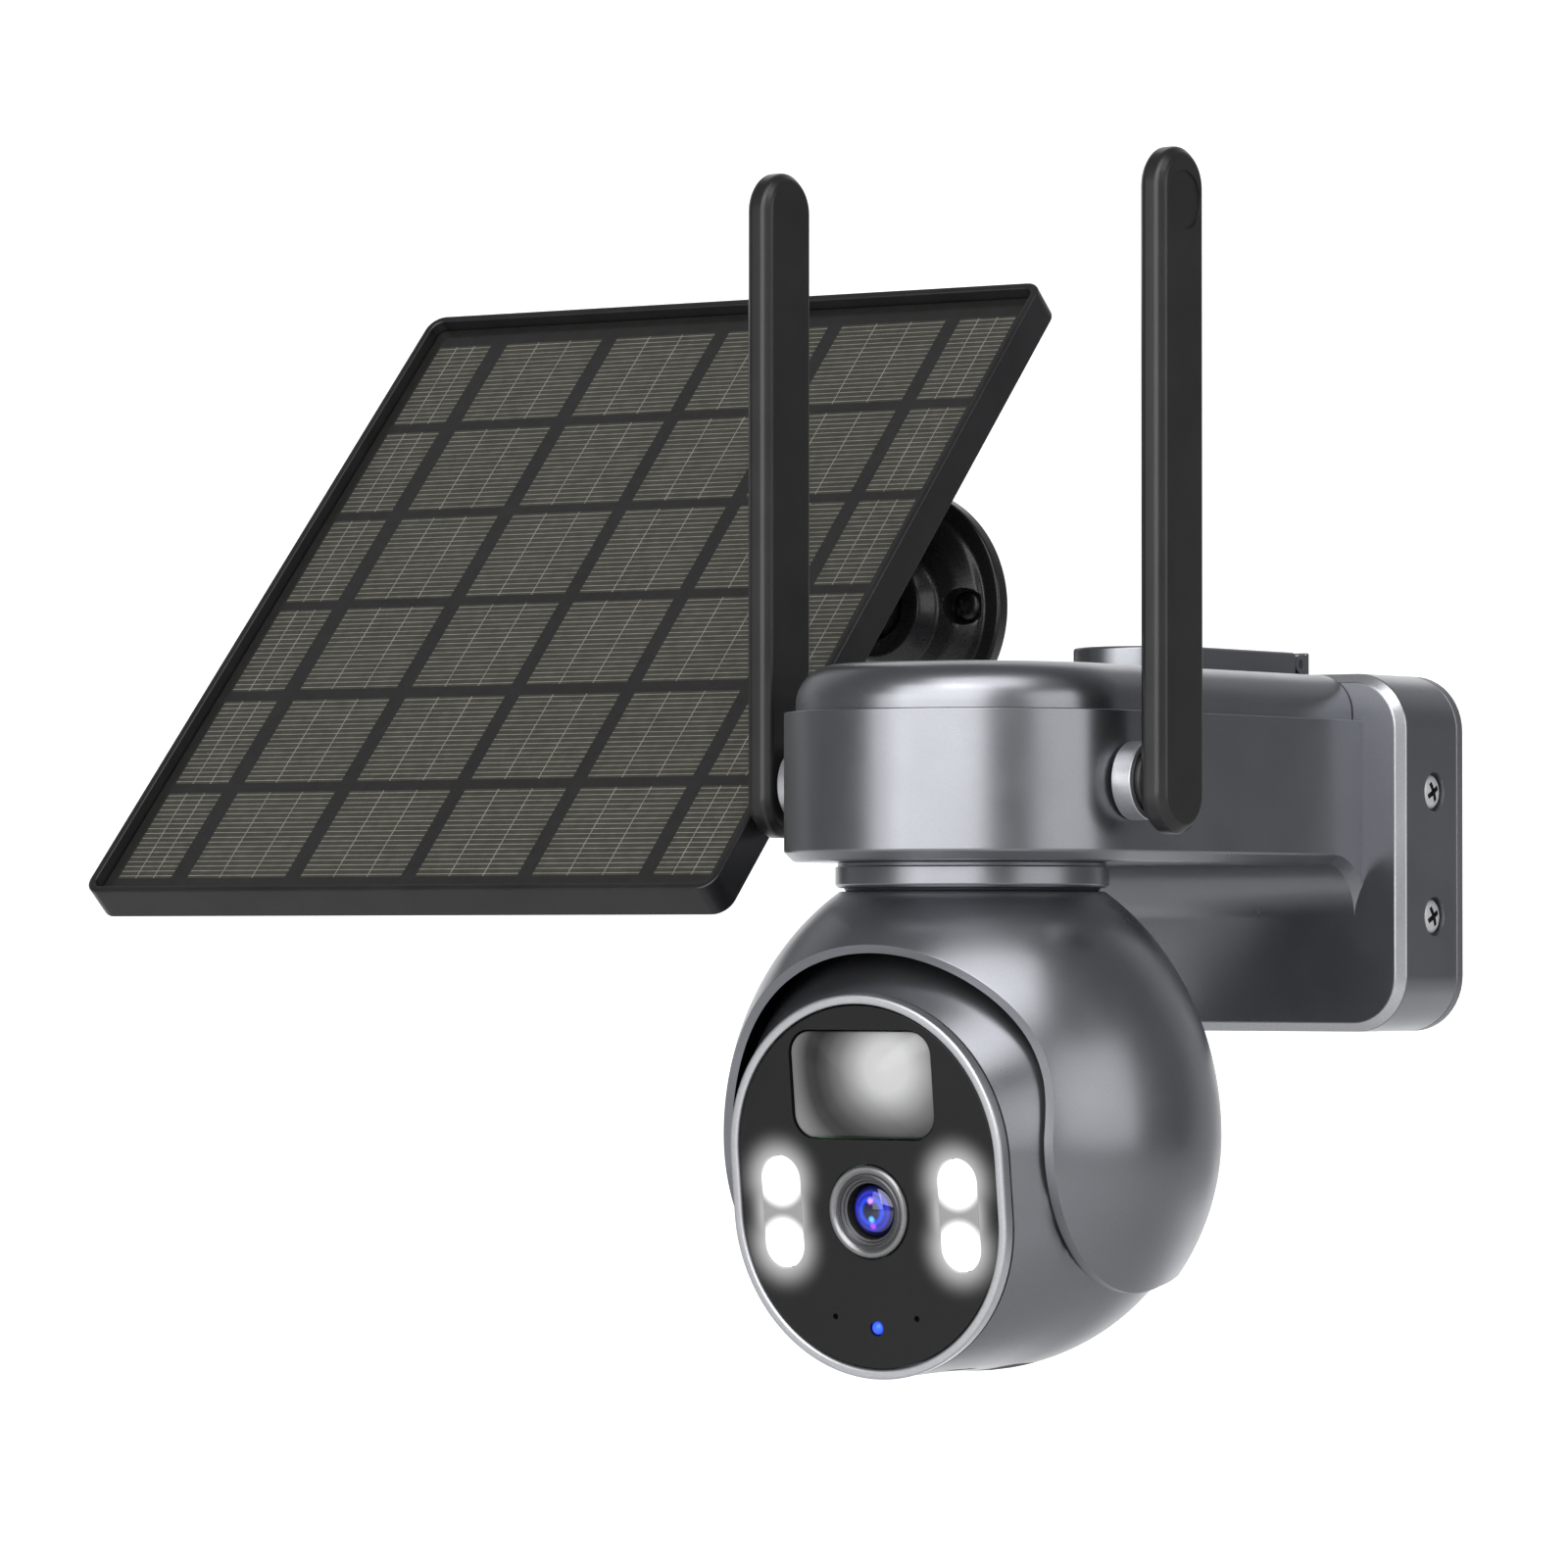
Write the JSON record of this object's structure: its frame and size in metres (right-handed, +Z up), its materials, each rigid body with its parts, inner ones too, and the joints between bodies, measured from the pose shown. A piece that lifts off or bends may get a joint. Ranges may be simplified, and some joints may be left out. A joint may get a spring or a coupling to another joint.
{
  "type": "solar-powered security camera",
  "caption": "Wall-mounted pan and tilt camera with swivelling antennas, and a tilting solar panel on its own bent wall bracket.",
  "frame": {"origin": "centre of the back face of the camera's wall plate, on the wall", "axes": "+Y into the wall, -Y the way the camera looks, +Z up, +X to the right of someone facing the wall"},
  "size_m": [0.263, 0.1532, 0.2389],
  "materials": {
    "gunmetal_paint": "satin metallic gunmetal paint on ABS",
    "plate_steel": "satin grey painted steel",
    "silver_trim": "bright silver paint",
    "steel": "plain bright steel",
    "black_plastic": "fine satin moulded black",
    "rubber": "matt black silicone",
    "circuit_board": "green solder resist",
    "battery_wrap": "blue shrink wrap on a metal can",
    "gloss_black": "gloss black",
    "frosted_lens": "frosted grey-white polyethylene",
    "lens_metal": "dark grey satin",
    "lens_glass": "coated blue-violet glass",
    "led_cover": "clear window",
    "led_lamp": "lit white lamp",
    "status_blue": "lit blue indicator",
    "solar_cells": "dark cells under clear laminate"
  },
  "bodies": {
    "wall_side": {"wall_plate": "plate_steel", "arm_housing": "gunmetal_paint", "top_cover": "gunmetal_paint", "side_screw_1": "steel", "side_screw_2": "steel", "side_screw_3": "steel", "side_screw_4": "steel", "neck_ring": "gunmetal_paint", "hatch_hinge_block": "gunmetal_paint", "hatch_pin": "steel", "hatch_gasket": "rubber", "card_socket": "steel", "main_board": "circuit_board", "pan_motor": "steel", "battery_cell_1": "battery_wrap", "battery_cell_2": "battery_wrap", "battery_cell_3": "battery_wrap", "battery_tray": "black_plastic", "solar_inlet": "black_plastic", "antenna_boss_left": "silver_trim", "antenna_boss_right": "silver_trim", "solar_base": "black_plastic", "solar_base_screw_1": "steel", "solar_base_screw_2": "steel", "solar_base_screw_3": "steel", "solar_arm": "black_plastic", "pivot_bolt": "steel"},
    "hatch": {"service_hatch": "gunmetal_paint"},
    "button": {"reset_button": "rubber"},
    "left_antenna": {"antenna_left": "black_plastic", "antenna_hub_left": "black_plastic"},
    "right_antenna": {"antenna_right": "black_plastic", "antenna_hub_right": "black_plastic"},
    "turning_head": {"hood_shell": "gunmetal_paint", "pan_hub": "black_plastic", "tilt_axle": "steel", "tilt_drive_shaft": "steel"},
    "camera_ball": {"ball_shell": "gunmetal_paint", "face_bezel": "silver_trim", "face_plate": "gloss_black", "pir_lens": "frosted_lens", "pir_sensor": "steel", "lens_barrel": "lens_metal", "lens_glass": "lens_glass", "led_window_left": "led_cover", "led_window_right": "led_cover", "led_strip_left": "led_lamp", "led_strip_right": "led_lamp", "status_led": "status_blue", "sensor_board": "circuit_board", "tilt_motor": "steel", "speaker": "black_plastic", "card_cover": "rubber"},
    "clamp_knob": {"pivot_knob": "black_plastic"},
    "solar_panel": {"panel_bracket": "black_plastic", "panel_frame": "black_plastic", "panel_back": "black_plastic", "solar_laminate": "solar_cells", "junction_box": "black_plastic", "cable_gland": "rubber"}
  },
  "joints": [
    {"name": "head_pan", "type": "hinge", "parent": "wall_side", "child": "turning_head", "pos_m": [0, -0.112, -0.05615], "axis": [0, 0, 1], "range_deg": [-175, 175]},
    {"name": "head_tilt", "type": "hinge", "parent": "turning_head", "child": "camera_ball", "pos_m": [0, -0.112, -0.05615], "axis": [1, 0, 0], "range_deg": [-8, 55]},
    {"name": "left_antenna_swivel", "type": "hinge", "parent": "wall_side", "child": "left_antenna", "pos_m": [-0.0465, -0.112, 0.01305], "axis": [1, 0, 0], "range_deg": [-50, 90]},
    {"name": "right_antenna_swivel", "type": "hinge", "parent": "wall_side", "child": "right_antenna", "pos_m": [0.0465, -0.112, 0.01305], "axis": [1, 0, 0], "range_deg": [-50, 90]},
    {"name": "hatch_hinge", "type": "hinge", "parent": "wall_side", "child": "hatch", "pos_m": [0, -0.0105, 0.0392], "axis": [-1, 0, 0], "range_deg": [0, 85]},
    {"name": "reset_press", "type": "slide", "parent": "wall_side", "child": "button", "axis": [0, 0, -1], "range_m": [0, 0.001], "stiffness_N_per_m": 200, "springref_m": -0.001},
    {"name": "panel_tilt", "type": "hinge", "parent": "wall_side", "child": "solar_panel", "pos_m": [-0.132, -0.05324, 0.04207], "axis": [1, 0, 0], "range_deg": [0, 43]},
    {"name": "clamp_knob_turn", "type": "hinge", "parent": "wall_side", "child": "clamp_knob", "pos_m": [-0.132, -0.05324, 0.04207], "axis": [1, 0, 0], "range_deg": [-180, 180]}
  ]
}
